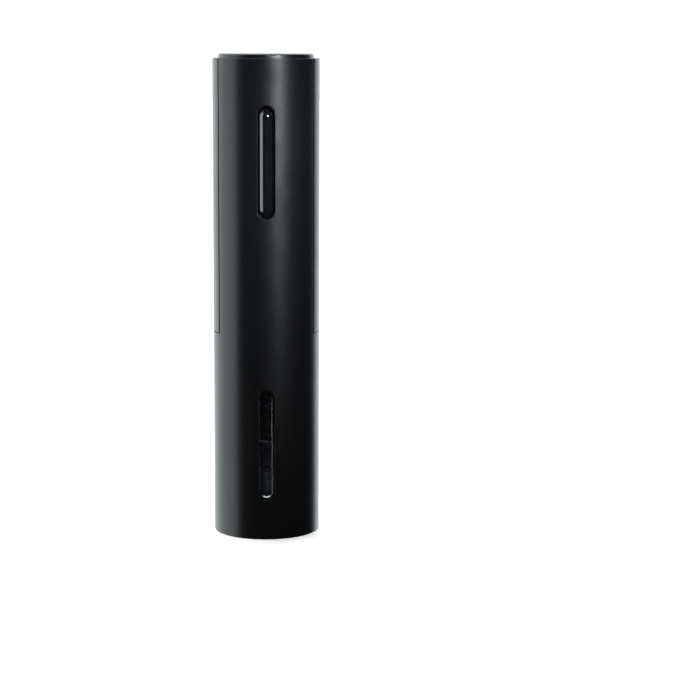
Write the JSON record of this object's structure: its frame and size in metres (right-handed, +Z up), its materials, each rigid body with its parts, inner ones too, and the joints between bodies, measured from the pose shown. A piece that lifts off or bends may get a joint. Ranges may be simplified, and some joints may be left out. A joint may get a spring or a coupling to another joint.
{
  "type": "electric wine opener",
  "caption": "Cordless upright corkscrew: a black cylinder with a rocker button, a clear window at the bottle end, a geared motor, AA cells and a twist-off cap.",
  "frame": {"origin": "centre of the bottom rim, on the cylinder's axis", "axes": "+Z up along the worm's axis, -Y towards the front, where the button and the window are"},
  "size_m": [0.05, 0.0511, 0.226],
  "materials": {
    "shell": "satin, fine grain",
    "gloss": "high gloss",
    "clear": "clear acrylic",
    "rubber": "soft matte",
    "acetal": "natural acetal",
    "nylon": "matte, moulded",
    "steel": "turned or pressed",
    "worm": "polished steel wire",
    "zinc": "bare zinc plating",
    "bronze": "sintered bronze",
    "nickel": "nickel plate",
    "copper": "enamelled windings and steel laminations",
    "cell": "plain sleeve, bare steel ends",
    "board": "glass-fibre board with solder mask",
    "red_wire": "wire insulation",
    "black_wire": "wire insulation"
  },
  "bodies": {
    "root": {"front_shell": "shell", "rear_cover": "shell", "window_lens": "clear", "bottle_guide": "clear", "lip_seat_ring": "rubber", "cap_collar": "nylon", "battery_cage": "nylon", "motor_end_bell": "nylon", "switch_lower": "nylon", "switch_upper": "nylon", "gear_housing": "acetal", "button_pivot_pin": "steel", "motor_can": "steel", "motor_screw_left": "steel", "motor_screw_right": "steel", "thrust_washer": "steel", "motor_plate": "zinc", "output_bush": "bronze", "switch_board": "board", "bottom_contact": "nickel", "terminal_positive": "nickel", "terminal_negative": "nickel", "battery_wire_positive": "red_wire", "battery_wire_negative": "black_wire", "motor_wire_left": "red_wire", "motor_wire_right": "black_wire", "cover_screw_lower_left": "steel", "cover_screw_lower_right": "steel", "cover_screw_upper_left": "steel", "cover_screw_upper_right": "steel", "battery_cell_1": "cell", "battery_cell_2": "cell", "battery_spring_2": "nickel", "battery_cell_3": "cell", "battery_cell_4": "cell", "battery_spring_4": "nickel"},
    "output": {"output_carrier": "steel", "worm_chuck": "steel", "worm": "worm", "retaining_clip": "steel"},
    "stage_one": {"stage_one_carrier": "zinc"},
    "rotor": {"armature": "copper", "motor_shaft": "steel", "pinion_gear": "bronze"},
    "rocker": {"rocker_button": "gloss"},
    "plunger_lower": {"switch_plunger_lower": "acetal"},
    "plunger_upper": {"switch_plunger_upper": "acetal"},
    "contact_carrier": {"contact_plate": "nylon", "top_contact_left": "nickel", "top_contact_right": "nickel", "battery_spring_1": "nickel", "battery_spring_3": "nickel"},
    "cap": {"battery_cap": "shell", "cap_swivel_screw": "steel"},
    "planet_one_1": {"planet_one_1": "acetal"},
    "planet_one_2": {"planet_one_2": "acetal"},
    "planet_one_3": {"planet_one_3": "acetal"},
    "planet_two_1": {"planet_two_1": "steel"},
    "planet_two_2": {"planet_two_2": "steel"},
    "planet_two_3": {"planet_two_3": "steel"}
  },
  "joints": [
    {"name": "worm_turn", "type": "hinge", "parent": "root", "child": "output", "pos_m": [0, 0, 0.1], "axis": [0, 0, 1], "continuous": true},
    {"name": "stage_one_turn", "type": "hinge", "parent": "root", "child": "stage_one", "pos_m": [0, 0, 0.115], "axis": [0, 0, 1], "continuous": true},
    {"name": "rotor_turn", "type": "hinge", "parent": "root", "child": "rotor", "pos_m": [0, 0, 0.14], "axis": [0, 0, 1], "continuous": true},
    {"name": "rocker_tilt", "type": "hinge", "parent": "root", "child": "rocker", "pos_m": [0, -0.0193, 0.1768], "axis": [1, 0, 0], "range_deg": [-2.2, 2.2], "stiffness_Nm_per_rad": 0.2},
    {"name": "plunger_lower_travel", "type": "slide", "parent": "root", "child": "plunger_lower", "axis": [0, 1, 0], "range_m": [-0.00075, 0.00075]},
    {"name": "plunger_upper_travel", "type": "slide", "parent": "root", "child": "plunger_upper", "axis": [0, 1, 0], "range_m": [-0.00075, 0.00075]},
    {"name": "cap_lift", "type": "slide", "parent": "root", "child": "contact_carrier", "axis": [0, 0, 1], "range_m": [0, 0.03]},
    {"name": "cap_twist", "type": "hinge", "parent": "contact_carrier", "child": "cap", "pos_m": [0, 0, 0.22], "axis": [0, 0, 1], "range_deg": [-25, 0]},
    {"name": "planet_one_1_spin", "type": "hinge", "parent": "stage_one", "child": "planet_one_1", "pos_m": [0.009, 0, 0.12], "axis": [0, 0, 1], "continuous": true},
    {"name": "planet_one_2_spin", "type": "hinge", "parent": "stage_one", "child": "planet_one_2", "pos_m": [-0.0045, 0.00779, 0.12], "axis": [0, 0, 1], "continuous": true},
    {"name": "planet_one_3_spin", "type": "hinge", "parent": "stage_one", "child": "planet_one_3", "pos_m": [-0.0045, -0.00779, 0.12], "axis": [0, 0, 1], "continuous": true},
    {"name": "planet_two_1_spin", "type": "hinge", "parent": "output", "child": "planet_two_1", "pos_m": [0.009, 0, 0.1125], "axis": [0, 0, 1], "continuous": true},
    {"name": "planet_two_2_spin", "type": "hinge", "parent": "output", "child": "planet_two_2", "pos_m": [-0.0045, 0.00779, 0.1125], "axis": [0, 0, 1], "continuous": true},
    {"name": "planet_two_3_spin", "type": "hinge", "parent": "output", "child": "planet_two_3", "pos_m": [-0.0045, -0.00779, 0.1125], "axis": [0, 0, 1], "continuous": true}
  ],
  "couplings": [
    {"joint": "stage_one_turn", "follows": "worm_turn", "ratio": 6},
    {"joint": "rotor_turn", "follows": "worm_turn", "ratio": 36},
    {"joint": "plunger_lower_travel", "follows": "rocker_tilt", "m_per_rad": 0.019},
    {"joint": "plunger_upper_travel", "follows": "rocker_tilt", "m_per_rad": -0.019},
    {"joint": "planet_one_1_spin", "follows": "worm_turn", "ratio": -15},
    {"joint": "planet_one_2_spin", "follows": "worm_turn", "ratio": -15},
    {"joint": "planet_one_3_spin", "follows": "worm_turn", "ratio": -15},
    {"joint": "planet_two_1_spin", "follows": "worm_turn", "ratio": -2.5},
    {"joint": "planet_two_2_spin", "follows": "worm_turn", "ratio": -2.5},
    {"joint": "planet_two_3_spin", "follows": "worm_turn", "ratio": -2.5}
  ]
}
